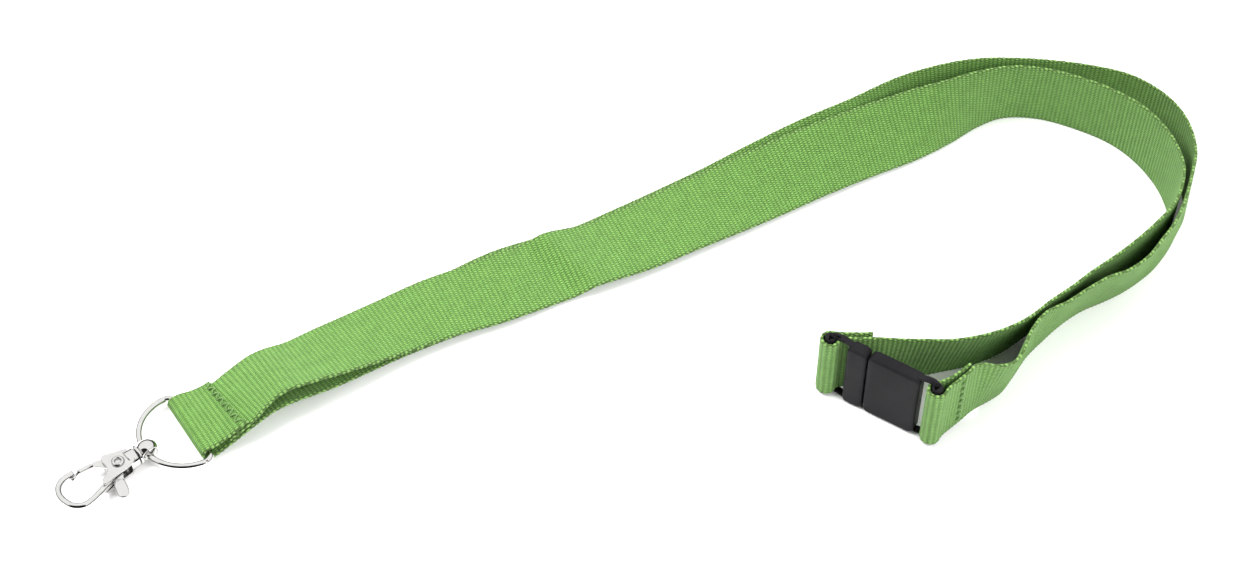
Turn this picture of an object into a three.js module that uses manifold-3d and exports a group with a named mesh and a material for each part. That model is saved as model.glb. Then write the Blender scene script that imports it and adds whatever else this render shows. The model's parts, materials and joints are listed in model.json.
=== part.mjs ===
// Lanyard with a safety buckle, a D-ring and a swivel trigger hook, as it lies on a table.
// Millimetres, +Z up, with the origin under the middle of the whole object.

import * as THREE from 'three';
import { mergeVertices } from 'three/addons/utils/BufferGeometryUtils.js';
import Module from 'manifold-3d';

const wasm = await Module();
wasm.setup();

// Driving dimensions
const gap = 0.3;                 // clearance between neighbouring pieces

const webWidth = 20;
const webThick = 1;
const threadRadius = 0.25;
const threadLift = 0.5;          // from the webbing's face, as the webbing curves under it
const stitchPitch = 2.4;         // along the width of the webbing, one zigzag
const stitchSwing = 1.8;         // zigzag, along the length of the webbing

const ringWire = 0.9;            // radius of the D-ring's wire
const ringPlay = 1;              // room at each selvedge
const ringCorner = 2.2;
const ringStraight = 1.4;        // from the straight bar to where the round side starts

const eyeRoom = 1.2;             // room round the ring's wire in the eye's hole
const eyeWall = 0.9;             // the domed eye's wall beyond its hole, along the hook
const eyeSideWall = 0.6;         // and across it
const eyeDrop = 0.45;            // the wire lies this far below the middle of its hole
const eyeSlide = 0.5;            // and this far towards the hook
const collarRadius = 2.7;
const collarThick = 0.7;
const postRadius = 0.8;
const postHeadRadius = 1.3;
const postHeadThick = 0.8;

const neckRadius = 2.6;          // the hook's round neck
const neckLength = 1.2;
const bowWire = 0.85;            // half width of the hook's bow
const bowThick = 1.3;            // half thickness of the hook's bow
const bowSide = 4.5;             // from the hook's middle line to the bow's long side
const bowReach = 15.8;           // from the rivet to the far end of the bow
const cheekThick = 0.6;          // side plates of the hook's body
const gatePlate = 0.9;           // the gate's plate, in the slot between them under the spring
const gateThick = 1.1;           // half thickness of the gate and its thumb pad
const rivetBack = 2.4;           // from the post's head to the rivet
const rivetRadius = 0.9;
const rivetBore = 0.5;
const rivetHeadRadius = 1.7;
const rivetHeadThick = 0.35;
const springWire = 0.15;
const springTurns = 2;
const springPitch = 0.35;
const hookSink = 0.3;            // the ring's wire lies this far below the height of the rivet's half

const armThick = 0.6;            // the buckle's arms, beside the webbing
const buckleThick = 3.8;
const socketLength = 14.7;
const plugLength = 5.8;
const buckleEdge = 0.8;          // bevel round the shells
const buckleCorner = 1.6;
const barRadius = 1.4;
const plugReach = 5.2;           // from a shell's end to its bar
const socketReach = 4.4;
const barForward = 0.6;          // the bars stand forward of the middle plane
const armWidth = 1.9;
const prongLength = 8.6;
const prongThick = 1.6;
const prongWidth = 3.4;
const prongPitch = 5.7;

const foldRun = 1.2;             // the fold at the ring stays open this far

// How the pieces lie
const foldCorner = [-114.8, -65.3];   // near corner of the fold at the ring
const foldHeading = 35.5;             // degrees, the way the straps leave the ring
const eyeTurn = 5;                    // the eye sits this far round the ring's bend
const hookHeading = 224;              // the hook points away from the straps
const hookPitch = 1;                  // and slopes down to the table
const buckleSeat = [50.75, -37.4, 0.3];  // foot of the seam between plug and socket
const buckleHeading = -30.6;
const buckleLean = 4;                 // the buckle leans forward

const laidWidth = 20;                 // the rows below are laid for webbing this wide
const laidThick = 1;                  // and this thick
const topSpread = 0.35;               // the outer strap moves out this much for each extra mm of width

// Where the straps run: x and y of the lower selvedge, its height over the table, and
// how far the webbing leans outward from upright, in degrees
const stackedRows = [8.5, 11.5, 14.5].map((along, i) => [
  foldCorner[0] + along * Math.cos(rad(foldHeading)),
  foldCorner[1] + along * Math.sin(rad(foldHeading)),
  [1.8, 3, 4.3][i],
  [95, 98, 100][i],
]);

const frontRoute = [
  [-97.5, -50, 8.2, 103], [-93.4, -47.4, 9.2, 104],
  [-88.6, -44.4, 8.6, 103], [-84, -41.3, 7.2, 100], [-77, -36.3, 5.3, 96],
  [-69.5, -30.8, 3.6, 92], [-61.5, -25.5, 2.4, 88], [-52, -20, 1.6, 82],
  [-44, -16, 1.4, 77], [-36, -11.5, 1.4, 72], [-26, -5.5, 1.4, 77],
  [-15, 0.3, 1.4, 81], [-4, 6.5, 1.4, 76], [8, 14.3, 1.4, 72],
  [20, 22, 1.2, 65], [32, 30, 1, 57], [45, 39, 0.8, 49],
  [58, 47.3, 0.6, 42], [70.5, 55, 0.4, 35], [80, 62.5, 0.2, 20],
  [88.5, 70.3, 0, 7], [96.5, 74.8, 0, 0], [107, 75, 0, -3],
  [118, 71, 0, -3], [126, 66.3, 0, -3], [132, 60, 0, -1],
  [136.5, 52, 0, 0], [139, 44, 0, 0], [139.6, 36, 0, 0],
  [137.4, 28, 0, 1], [133.3, 21, 0, 3], [128.5, 15.5, 0, 4],
  [124.3, 11.7, 0, 6], [119, 7.7, 0, 9], [113, 4, 0, 13],
  [106.6, -0.1, 0, 16], [101.3, -4.8, 0, 16],
];

const frontEndRoute = [
  [100.6, -5.4, 0, 17], [94.4, -10.9, 0, 17], [87.6, -17, 0, 18], [80, -21.6, 0, 18],
  [70, -25, 0, 17], [63.5, -27, 0, 13], [58, -29.3, 0.2, 8],
];

const rearRoute = [
  [-98, -52, 5, 100], [-94.1, -49.3, 5.2, 100],
  [-89.2, -45.6, 4.2, 97], [-84.2, -41.4, 2.8, 94], [-76.8, -35, 1.4, 91],
  [-69, -28.8, 0.6, 89], [-60, -22.8, 0.2, 87], [-50, -16.8, 0, 84],
  [-38.5, -9.5, 0, 80], [-28, -3.3, 0, 83], [-16.5, 2.6, 0, 84],
  [-5.5, 9, 0, 80], [6.5, 16.6, 0, 76], [18.5, 24.2, 0, 69],
  [30.5, 32.8, 0, 60], [43.5, 42.6, 0, 47], [54.5, 51.4, 0, 33],
  [68.5, 63.3, 0, 24], [78.5, 69.8, 0, 17], [88, 75, 0, 8],
  [98.5, 77.6, 0, 2], [107.5, 78, 0, 0], [118.5, 76.6, 0, 0],
  [129.6, 73.3, 0, 0], [137.3, 67, 0, 0], [142, 59.3, 0, 0],
  [144.3, 50.5, 0, -1], [144.8, 42, 0, -3], [143, 35, 0, -3],
  [140.2, 29.3, 0, 0], [136.7, 22.5, 0, 3], [132, 15.6, 0, 7],
  [128, 11.3, 0, 10], [122.2, 6.3, 0, 16], [116.3, 2.4, 0, 19],
  [110.6, -1, 0, 18], [104.7, -6, 0, 17], [98.7, -12.6, 0, 14],
  [93.8, -18.7, 0, 8], [89.3, -26.3, 0, 7], [86.1, -31.2, 0, 11],
  [83, -34, 0.2, 14], [80.1, -36.4, 0.6, 11],
];

// The loops round the buckle's bars, in the buckle's own plan: x along it, y to its back
const plugLoopIn = [[-0.9, 5.9], [-4.6, 3.5], [-6.9, 2.2], [-8.4, 1]];
const plugLoopTail = [[-10.6, 1.9], [-8.2, 3.2], [-5.1, 5.1], [-2.8, 6.7]];
const socketLoopIn = [[24.1, 11.9], [23, 7.6], [21.9, 3.8], [21.3, 1.4]];
const socketLoopTail = [[18.9, 2.4], [20.2, 4.6], [21.4, 7.8], [22.4, 11]];

function rad(degrees) {
  return degrees * Math.PI / 180;
}

// Materials
const webbing = new THREE.MeshStandardMaterial({ color: 0x5f9f45, roughness: 0.85, metalness: 0 });
const thread = new THREE.MeshStandardMaterial({ color: 0x4f8c39, roughness: 0.8, metalness: 0 });
const nickel = new THREE.MeshStandardMaterial({ color: 0xdcdde0, roughness: 0.12, metalness: 1 });
const springSteel = new THREE.MeshStandardMaterial({ color: 0xa9abb0, roughness: 0.3, metalness: 1 });
const acetal = new THREE.MeshStandardMaterial({ color: 0x1d1d1f, roughness: 0.42, metalness: 0 });

// Closed meshes as solids, and back
function solid(geometry) {
  const bare = geometry.clone();
  bare.deleteAttribute('normal');
  bare.deleteAttribute('uv');
  const merged = mergeVertices(bare, 1e-4);
  return new wasm.Manifold(new wasm.Mesh({
    numProp: 3,
    vertProperties: new Float32Array(merged.attributes.position.array),
    triVerts: new Uint32Array(merged.index.array),
  }));
}

function geometryOf(manifold) {
  const mesh = manifold.getMesh();
  const geometry = new THREE.BufferGeometry();
  geometry.setAttribute('position', new THREE.BufferAttribute(mesh.vertProperties, 3));
  geometry.setIndex(new THREE.BufferAttribute(mesh.triVerts, 1));
  geometry.computeVertexNormals();
  return geometry;
}

function bent(geometry, place) {
  const position = geometry.attributes.position;
  const point = new THREE.Vector3();
  for (let i = 0; i < position.count; i += 1) {
    place(point.fromBufferAttribute(position, i));
    position.setXYZ(i, point.x, point.y, point.z);
  }
  geometry.computeVertexNormals();
  return geometry;
}

function box(x0, x1, y0, y1, z0, z1) {
  const geometry = new THREE.BoxGeometry(x1 - x0, y1 - y0, z1 - z0);
  return geometry.translate((x0 + x1) / 2, (y0 + y1) / 2, (z0 + z1) / 2);
}

// A rod from z0 to z1 along Z
function rod(radius, z0, z1, sides = 20) {
  const geometry = new THREE.CylinderGeometry(radius, radius, z1 - z0, sides);
  return geometry.rotateX(Math.PI / 2).translate(0, 0, (z0 + z1) / 2);
}

// Webbing: stations hold the lower selvedge and the direction across the webbing
const up = new THREE.Vector3(0, 0, 1);

function routeStations(rows, outerShift = 0) {
  const plan = new THREE.CatmullRomCurve3(rows.map(([x, y]) => new THREE.Vector3(x, y, 0)), false, 'centripetal');
  return rows.map(([x, y, lift, lean], i) => {
    const along = plan.getTangent(i / (rows.length - 1));
    const outward = new THREE.Vector3(-along.y, along.x, 0);
    const across = outward.clone().multiplyScalar(Math.sin(rad(lean))).addScaledVector(up, Math.cos(rad(lean)));
    const low = webThick / 2 * Math.abs(Math.sin(rad(lean)));
    const shift = outerShift * Math.sin(Math.PI * i / (rows.length - 1));  // none at either end
    return { edge: new THREE.Vector3(x, y, lift + low).addScaledVector(outward, shift), across };
  });
}

// The same stations moved out by a number of layers, towards the top of the stack
function layered(stations, layers) {
  const pitch = webThick + gap;
  return stations.map(({ edge, across }, i) => {
    const next = stations[Math.min(i + 1, stations.length - 1)].edge;
    const last = stations[Math.max(i - 1, 0)].edge;
    const normal = next.clone().sub(last).cross(across).normalize();
    return { edge: edge.clone().addScaledVector(normal, layers * pitch), across };
  });
}

function ribbonAt(stations) {
  const low = new THREE.CatmullRomCurve3(stations.map(({ edge }) => edge), false, 'centripetal');
  const high = new THREE.CatmullRomCurve3(
    stations.map(({ edge, across }) => edge.clone().addScaledVector(across, webWidth)), false, 'centripetal');
  return (u) => {
    const edge = low.getPoint(u);
    const across = high.getPoint(u).sub(edge).normalize();
    const normal = low.getTangent(u).cross(across).normalize();
    return { edge, across, normal };
  };
}

function ribbon(stations, stepsPerStation = 2) {
  const steps = (stations.length - 1) * stepsPerStation;
  const at = ribbonAt(stations);
  return bent(new THREE.BoxGeometry(1, 1, 1, steps, 1, 1), (p) => {
    const { edge, across, normal } = at(p.x + 0.5);
    const width = (p.y + 0.5) * webWidth;
    const depth = p.z * webThick;
    p.copy(edge).addScaledVector(across, width).addScaledVector(normal, depth);
  });
}

// A place on a ribbon, counted in stations from its end
function fromEnd(stations, count) {
  return 1 - count / (stations.length - 1);
}

// Zigzag stitching across the webbing at one place on a ribbon, on either of its faces
function zigzag(stations, u, side) {
  const { edge, across, normal } = ribbonAt(stations)(u);
  const along = across.clone().cross(normal);
  const margin = 1.2;
  const turns = 2 * Math.round((webWidth - 2 * margin) / stitchPitch);
  const height = side * (webThick / 2 + threadLift + threadRadius);
  const corners = Array.from({ length: turns + 1 }, (_, i) => edge.clone()
    .addScaledVector(across, margin + (webWidth - 2 * margin) * i / turns)
    .addScaledVector(along, (i % 2 - 0.5) * stitchSwing)
    .addScaledVector(normal, height));
  const section = new THREE.Shape();
  section.absellipse(0, 0, threadRadius, threadRadius, 0, Math.PI * 2);
  const path = new THREE.CatmullRomCurve3(corners, false, 'centripetal');
  return new THREE.ExtrudeGeometry(section, { steps: turns * 3, extrudePath: path, curveSegments: 3 });
}

// The fold round the ring's bar, from the tail on top to the layer on the table
const foldRadius = ringWire + gap + webThick / 2;
const foldAway = new THREE.Vector3(-Math.cos(rad(foldHeading)), -Math.sin(rad(foldHeading)), 0);
const foldAcross = new THREE.Vector3(-Math.sin(rad(foldHeading)), Math.cos(rad(foldHeading)), 0);
const foldAxis = new THREE.Vector3(...foldCorner, foldRadius + webThick / 2)
  .addScaledVector(foldAway, -(foldRadius + webThick / 2));

function foldStations() {
  const turn = [90, 60, 30, 0, -30, -60, -90].map((angle) => [
    foldRadius * Math.cos(rad(angle)), foldRadius * Math.sin(rad(angle))]);
  return [[-foldRun, foldRadius], ...turn, [-foldRun, -foldRadius]].map(([out, rise]) => ({
    edge: foldAxis.clone().addScaledVector(foldAway, out).addScaledVector(up, rise),
    across: foldAcross,
  }));
}

// The buckle's own frame, and loops of webbing in it
const buckleFrame = new THREE.Object3D();
buckleFrame.position.set(...buckleSeat);
buckleFrame.rotation.set(rad(buckleLean), 0, rad(buckleHeading), 'ZYX');
buckleFrame.updateMatrixWorld(true);
const loopFoot = armThick + gap;
const buckleWidth = webWidth + 2 * loopFoot;  // upright, as the buckle stands
const loopRadius = barRadius + gap + webThick / 2;

function loopStations(barX, inward, tail) {
  const turn = [15, -15, -45, -80, -115, -150, -180, -210, -240];
  const round = turn.map((angle) => [
    barX + loopRadius * Math.cos(rad(angle)),
    -barForward + loopRadius * Math.sin(rad(angle)),
  ]);
  const across = up.clone().transformDirection(buckleFrame.matrixWorld);
  return [...inward, ...round, ...tail].map(([x, y]) => ({
    edge: new THREE.Vector3(x, y, loopFoot).applyMatrix4(buckleFrame.matrixWorld),
    across,
  }));
}

const plugBarX = -plugLength - plugReach;
const socketBarX = socketLength + socketReach;

const stack = routeStations([...stackedRows, ...rearRoute.slice(0, 1)]).slice(0, 3);
const frontStations = [...layered(stack, 1), ...routeStations(frontRoute)];
const frontEndStations = [
  ...routeStations(frontEndRoute),
  ...loopStations(plugBarX, plugLoopIn, plugLoopTail),
];
const tailStations = layered(stack, 2).reverse();
const rearShift = topSpread * (webWidth - laidWidth) + webThick - laidThick;
const rearStations = [
  ...tailStations,
  ...foldStations(),
  ...stack,
  ...routeStations(rearRoute, rearShift),
  ...loopStations(socketBarX, socketLoopIn, socketLoopTail),
];

// D-ring: a torus whose round is led along a D in the ring's own plan, bar on x = 0
const ringHalf = webWidth / 2 + ringPlay + ringWire;
const ringDepth = ringStraight + ringHalf;

function ringPath() {
  const path = new THREE.Path();
  path.moveTo(0, 0);
  path.lineTo(0, ringHalf - ringCorner);
  path.absarc(ringCorner, ringHalf - ringCorner, ringCorner, Math.PI, Math.PI / 2, true);
  path.lineTo(ringStraight, ringHalf);
  path.absarc(ringStraight, 0, ringHalf, Math.PI / 2, -Math.PI / 2, true);
  path.lineTo(ringCorner, -ringHalf);
  path.absarc(ringCorner, ringCorner - ringHalf, ringCorner, -Math.PI / 2, -Math.PI, true);
  path.lineTo(0, 0);
  return path;
}

function ringGeometry() {
  const path = ringPath();
  return bent(new THREE.TorusGeometry(ringHalf, ringWire, 8, 56), (p) => {
    const out = Math.hypot(p.x, p.y) - ringHalf;
    const turn = (Math.atan2(p.y, -p.x) / (2 * Math.PI) + 1) % 1;
    const middle = path.getPointAt(turn);
    const along = path.getTangentAt(turn);
    p.set(middle.x - along.y * out, middle.y + along.x * out, p.z);
  });
}

// Swivel eye: a dome with the ring's wire through it and its post along +X
const eyeBore = ringWire + eyeRoom;
const domeRadius = eyeBore + eyeWall;
const domeHalf = eyeBore + eyeSideWall;
const collarFrom = domeRadius - 0.7;
const neckFrom = collarFrom + collarThick + gap;
const headFrom = neckFrom + neckLength + gap;
const headTo = headFrom + postHeadThick;

function alongX(geometry) {
  return geometry.rotateY(Math.PI / 2);
}

function swivelEyeGeometry() {
  const across = domeHalf / domeRadius;
  const dome = new THREE.SphereGeometry(domeRadius, 24, 16).scale(1, across, across);
  const bore = new THREE.TorusGeometry(ringHalf, eyeBore, 16, 80).translate(-ringHalf, 0, 0);
  const post = alongX(rod(postRadius, eyeBore + 0.3, headFrom + 0.1));
  return geometryOf(solid(dome)
    .add(solid(alongX(rod(collarRadius, collarFrom, collarFrom + collarThick, 28))))
    .subtract(solid(bore))
    .add(solid(post))
    .add(solid(alongX(rod(postHeadRadius, headFrom, headTo)))));
}

// Flat pieces drawn in plan and given a thickness
function plate(outline, z0, z1, edge = 0) {
  const shape = new THREE.Shape(outline.map(([x, y]) => new THREE.Vector2(x, y)));
  return new THREE.ExtrudeGeometry(shape, {
    depth: z1 - z0 - 2 * edge, bevelEnabled: edge > 0, bevelSize: edge, bevelOffset: -edge,
    bevelThickness: edge, bevelSegments: 2, curveSegments: 8,
  }).translate(0, 0, z0 + edge);
}

// The outline of a strip of one width that follows a curve
function strip(points, halfWidth, steps) {
  const curve = new THREE.SplineCurve(points.map(([x, y]) => new THREE.Vector2(x, y)));
  const side = (sign) => Array.from({ length: steps + 1 }, (_, i) => {
    const at = curve.getPoint(i / steps);
    const along = curve.getTangent(i / steps);
    return [at.x - sign * halfWidth * along.y, at.y + sign * halfWidth * along.x];
  });
  return [...side(1), ...side(-1).reverse()];
}

// Trigger hook, neck at the post and bow along +X, lying flat, gate on the +Y side
const rivetX = headTo + rivetBack;
const slotThick = gatePlate + 3 * gap + 2 * springWire + springTurns * springPitch;
const slotFrom = headTo + 0.1;
const slotTo = rivetX + 4.6;
const bowEnd = rivetX + bowReach;
const cheekHalf = slotThick / 2 + cheekThick;
const tipX = bowEnd - 6.1;
const tipSide = bowSide + 1;     // the bow's free end stands out this far from the middle line

function hookGeometry() {
  const body = [
    [neckFrom + 0.4, 2.3], [rivetX - 1.6, 3.1], [rivetX + 1.4, 4.3], [rivetX + 2.4, 4.2],
    [rivetX + 3, 3], [rivetX + 2.9, 0.6], [rivetX + 3.8, -1.1], [rivetX + 6.4, -2.3],
    [rivetX + 6.4, -4.1], [rivetX + 2, -3.2], [neckFrom + 0.4, -2.6],
  ];
  const bow = strip([
    [rivetX + 4.5, -2.8], [rivetX + 7.7, -bowSide + 0.8], [rivetX + 10.8, -bowSide],
    [bowEnd - 2.8, -bowSide], [bowEnd - 0.9, -bowSide + 1.5], [bowEnd, -bowSide + 4],
    [bowEnd, tipSide - 3.5], [bowEnd - 1.1, tipSide - 1.3], [bowEnd - 3.1, tipSide - 0.1],
    [tipX, tipSide],
  ], bowWire, 32);
  const slot = box(slotFrom, slotTo, -12, 12, -slotThick / 2, slotThick / 2);
  return geometryOf(solid(plate(body, -cheekHalf, cheekHalf, 0.3))
    .add(solid(plate(bow, -bowThick, bowThick, 0.4)))
    .add(solid(alongX(rod(neckRadius, neckFrom, headTo + 0.1, 28))))
    .subtract(solid(slot))
    .subtract(solid(alongX(rod(postRadius + gap, neckFrom - 1, headTo, 16))))
    .subtract(solid(alongX(rod(postHeadRadius + gap, headFrom - gap, slotFrom + 0.1, 16))))
    .subtract(solid(rod(rivetRadius + gap, -5, 5).translate(rivetX, 0, 0))));
}

// Gate and thumb lever in one piece, on the rivet
const plateLow = gap - slotThick / 2;

function gateGeometry() {
  const tip = tipX - rivetX;
  const lip = tipSide - bowWire - gap;
  const inner = [
    [-1.7, 1.4], [-0.4, 2.3], [3.4, 4.6], [5, 4.8], [5, 3.2], [2.4, 0.6], [2.3, -1.6],
    [3.4, -3.4], [3.7, -4.6], [1.5, -4.6], [0.2, -2.2], [-1.5, -1.4],
  ];
  const outer = tipSide + 0.8;
  const swing = Math.hypot(tip, tipSide - bowWire) - gap;  // the nose swings past the bow's free end
  const gate = [
    [3.8, 4.8], [tip - 3, tipSide + 0.7], [Math.sqrt(swing ** 2 - outer ** 2), outer], [tip - gap, lip],
    [tip + 1.6, lip - 0.1], [tip + 1.6, lip - 1.1], [tip - 2, lip - 0.9], [3.8, 3.2],
  ];
  const pad = [
    [1.4, -3.7], [3.7, -3.6], [4.9, -7], [5, -8.4], [4.3, -9.3], [3.4, -9.4], [2.6, -8.6],
  ];
  return geometryOf(solid(plate(inner, plateLow, plateLow + gatePlate))
    .add(solid(plate(gate, -gateThick, gateThick, 0.25)))
    .add(solid(plate(pad, -gateThick, gateThick, 0.25)))
    .subtract(solid(rod(rivetRadius + gap, -5, 5))));
}

function rivetGeometry() {
  const under = cheekHalf + gap;
  const top = under + rivetHeadThick;
  const profile = [
    [rivetBore, -top], [rivetHeadRadius - 0.2, -top], [rivetHeadRadius, -top + 0.15],
    [rivetHeadRadius, -under], [rivetRadius, -under], [rivetRadius, under], [rivetHeadRadius, under],
    [rivetHeadRadius, top - 0.15], [rivetHeadRadius - 0.2, top], [rivetBore, top], [rivetBore, -top],
  ].map(([r, y]) => new THREE.Vector2(r, y));
  return new THREE.LatheGeometry(profile, 20).rotateX(Math.PI / 2);
}

// Torsion spring, wound on the rivet above the gate's plate
function springGeometry() {
  const low = plateLow + gatePlate + gap + springWire;
  const high = slotThick / 2 - gap - springWire;
  const radius = rivetRadius + gap + springWire;
  const turns = Array.from({ length: springTurns * 10 + 1 }, (_, i) => {
    const angle = i / 10 * 2 * Math.PI;
    const rise = low + (high - low) * i / (springTurns * 10);
    return new THREE.Vector3(radius * Math.cos(angle), radius * Math.sin(angle), rise);
  });
  const first = new THREE.Vector3(radius, -1.6, low);
  const last = new THREE.Vector3(radius, 2, high);
  const path = new THREE.CatmullRomCurve3([first, ...turns, last], false, 'centripetal');
  const section = new THREE.Shape();
  section.absellipse(0, 0, springWire, springWire, 0, Math.PI * 2);
  return new THREE.ExtrudeGeometry(section, { steps: springTurns * 14 + 8, extrudePath: path, curveSegments: 3 });
}

// Buckle shells: x along the buckle, y through it, z across it, upright
function roundedOutline(x0, x1, z0, z1, r) {
  const shape = new THREE.Shape();
  shape.moveTo(x0 + r, z0);
  shape.lineTo(x1 - r, z0);
  shape.absarc(x1 - r, z0 + r, r, -Math.PI / 2, 0);
  shape.lineTo(x1, z1 - r);
  shape.absarc(x1 - r, z1 - r, r, 0, Math.PI / 2);
  shape.lineTo(x0 + r, z1);
  shape.absarc(x0 + r, z1 - r, r, Math.PI / 2, Math.PI);
  shape.lineTo(x0, z0 + r);
  shape.absarc(x0 + r, z0 + r, r, Math.PI, 1.5 * Math.PI);
  return shape;
}

function shell(x0, x1) {
  const shape = roundedOutline(x0, x1, 0, buckleWidth, buckleCorner);
  const depth = buckleThick - 2 * buckleEdge;
  return new THREE.ExtrudeGeometry(shape, {
    depth, bevelSize: buckleEdge, bevelOffset: -buckleEdge, bevelThickness: buckleEdge,
    bevelSegments: 3, curveSegments: 4,
  }).translate(0, 0, -depth / 2).rotateX(Math.PI / 2);
}

// The bar that the webbing goes round, on two arms that curl forward
function barAndArms(shellEnd, barX) {
  const out = Math.sign(barX);
  const arm = strip([
    [shellEnd - out * 1.2, 0], [shellEnd + out * 1.6, 0.5], [barX - out * 1.6, 0.5],
    [barX - out * 0.4, 0], [barX, -barForward],
  ], armWidth / 2, 12);
  const arms = [0, buckleWidth - armThick].map((z) => solid(plate(arm, z, z + armThick)));
  return solid(rod(barRadius, 0, buckleWidth, 16).translate(barX, -barForward, 0))
    .add(arms[0])
    .add(arms[1]);
}

const prongRows = [-1, 0, 1].map((row) => buckleWidth / 2 + row * prongPitch);

function socketGeometry() {
  const reach = prongWidth / 2 + gap;
  const cavity = box(-1, prongLength + 2 * gap, -prongThick / 2 - gap, prongThick / 2 + gap,
    prongRows[0] - reach, prongRows[2] + reach);
  return geometryOf(solid(shell(gap / 2, socketLength))
    .subtract(solid(cavity))
    .add(barAndArms(socketLength, socketBarX)));
}

function plugGeometry() {
  const prongs = prongRows.map((z) => solid(box(-2, prongLength, -prongThick / 2, prongThick / 2,
    z - prongWidth / 2, z + prongWidth / 2)));
  return geometryOf(prongs.reduce((sum, prong) => sum.add(prong), solid(shell(-plugLength, -gap / 2)))
    .add(barAndArms(-plugLength, plugBarX)));
}

// Assembly
function add(parent, name, geometry, material) {
  const mesh = new THREE.Mesh(geometry, material);
  mesh.name = name;
  parent.add(mesh);
}

const lanyard = new THREE.Group();

add(lanyard, 'front_strap', ribbon(frontStations), webbing);
add(lanyard, 'front_strap_buckle_end', ribbon(frontEndStations), webbing);
add(lanyard, 'rear_strap', ribbon(rearStations), webbing);
add(lanyard, 'ring_stitching', zigzag(tailStations, 0.15, -1), thread);
add(lanyard, 'socket_loop_stitching', zigzag(rearStations, fromEnd(rearStations, 15), -1), thread);
add(lanyard, 'plug_loop_stitching', zigzag(frontEndStations, fromEnd(frontEndStations, 0.6), -1), thread);

const buckle = new THREE.Group();
buckle.position.copy(buckleFrame.position);
buckle.quaternion.copy(buckleFrame.quaternion);
add(buckle, 'buckle_socket', socketGeometry(), acetal);
add(buckle, 'buckle_plug', plugGeometry(), acetal);
lanyard.add(buckle);

const ring = new THREE.Group();
const barMiddle = foldAxis.clone().addScaledVector(foldAcross, webWidth / 2);
const ringRest = cheekHalf + gap + rivetHeadThick - hookSink;
const ringTilt = Math.asin((ringRest - barMiddle.z) / ringDepth);
ring.position.copy(barMiddle);
ring.rotation.set(0, -ringTilt, rad(foldHeading + 180), 'ZYX');
add(ring, 'd_ring', ringGeometry(), nickel);
lanyard.add(ring);

const hook = new THREE.Group();
hook.position.set(ringStraight + ringHalf * Math.cos(rad(eyeTurn)), ringHalf * Math.sin(rad(eyeTurn)), 0);
hook.rotation.set(Math.PI, ringTilt + rad(hookPitch), rad(hookHeading - foldHeading - 180), 'ZYX');
const swivel = new THREE.Group();
swivel.position.set(-eyeSlide, 0, -eyeDrop);
add(swivel, 'swivel_eye', swivelEyeGeometry(), nickel);
add(swivel, 'hook_body', hookGeometry(), nickel);
hook.add(swivel);
ring.add(hook);

const pivot = new THREE.Group();
pivot.position.set(rivetX, 0, 0);
add(pivot, 'gate_lever', gateGeometry(), nickel);
add(pivot, 'gate_rivet', rivetGeometry(), nickel);
add(pivot, 'gate_spring', springGeometry(), springSteel);
swivel.add(pivot);

// The origin goes under the middle of the whole
const bounds = new THREE.Box3().setFromObject(lanyard, true);
const middle = bounds.getCenter(new THREE.Vector3());
lanyard.position.set(-middle.x, -middle.y, -bounds.min.z);
const whole = new THREE.Group();
whole.add(lanyard);

export default whole;
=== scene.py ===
import json
import math

import bmesh
import bpy
import numpy as np
from mathutils import Matrix, Vector


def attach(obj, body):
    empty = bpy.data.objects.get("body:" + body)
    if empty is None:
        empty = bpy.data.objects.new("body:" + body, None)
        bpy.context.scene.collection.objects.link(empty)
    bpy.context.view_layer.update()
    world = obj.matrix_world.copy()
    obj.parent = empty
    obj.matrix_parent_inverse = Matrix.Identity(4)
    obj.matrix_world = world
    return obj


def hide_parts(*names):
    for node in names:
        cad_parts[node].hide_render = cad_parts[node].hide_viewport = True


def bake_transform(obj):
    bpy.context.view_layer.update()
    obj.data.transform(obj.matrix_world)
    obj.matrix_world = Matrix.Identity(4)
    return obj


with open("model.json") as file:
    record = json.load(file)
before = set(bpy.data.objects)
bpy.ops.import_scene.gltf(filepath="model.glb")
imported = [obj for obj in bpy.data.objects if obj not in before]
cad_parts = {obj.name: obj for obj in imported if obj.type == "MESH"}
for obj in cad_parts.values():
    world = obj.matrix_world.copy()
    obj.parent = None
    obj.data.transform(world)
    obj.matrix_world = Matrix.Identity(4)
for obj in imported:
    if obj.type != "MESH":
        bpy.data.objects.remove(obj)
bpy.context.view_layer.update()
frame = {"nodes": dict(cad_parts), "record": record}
print("frame loaded:", sorted(frame["nodes"]))

mm = 0.001
joints = {j["name"]: j for j in frame["record"]["behaviour"]["joints"]}
mounts = {m["name"]: m for m in frame["record"]["mounts"]}
fold = dict(corner=(-114.8, -65.3), heading=35.5, radius=1.7, run=1.2, inset=2.2)
web = dict(width=20.0, thick=1.0, gap=0.3, ribPitch=1.22, ribLift=0.08, stepsPerRib=4)
buckle = dict(width=21.8, thick=3.8, socket=14.7, plug=5.8, edge=0.8, corner=1.6,
              barRadius=1.4, plugReach=5.2, socketReach=4.4, barForward=0.6)


def heading(degrees):
    return np.array([math.cos(math.radians(degrees)), math.sin(math.radians(degrees)), 0.0])


foldAway = -heading(fold["heading"])
foldAcross = heading(fold["heading"] + 90)
foldAxis = np.array([*fold["corner"], fold["inset"]]) - foldAway * fold["inset"]
barMiddle = foldAxis + foldAcross * web["width"] / 2
layShift = np.array(joints["ring_swing"]["pos_m"]) / mm - barMiddle  # from the lay's origin to the frame's


def frameOf(origin, x, y):  # a piece's own frame, in mm, from two of its directions
    x = Vector(x).normalized()
    z = x.cross(Vector(y)).normalized()
    m = Matrix((x, z.cross(x), z)).transposed().to_4x4()
    m.translation = Vector(origin)
    return m


# ---------------------------------------------------------------- camera, world, lights
view = dict(aim=(-12, 2, 0), elevation=47, roll=2.5, distance=580, lens=61.92)


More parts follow.
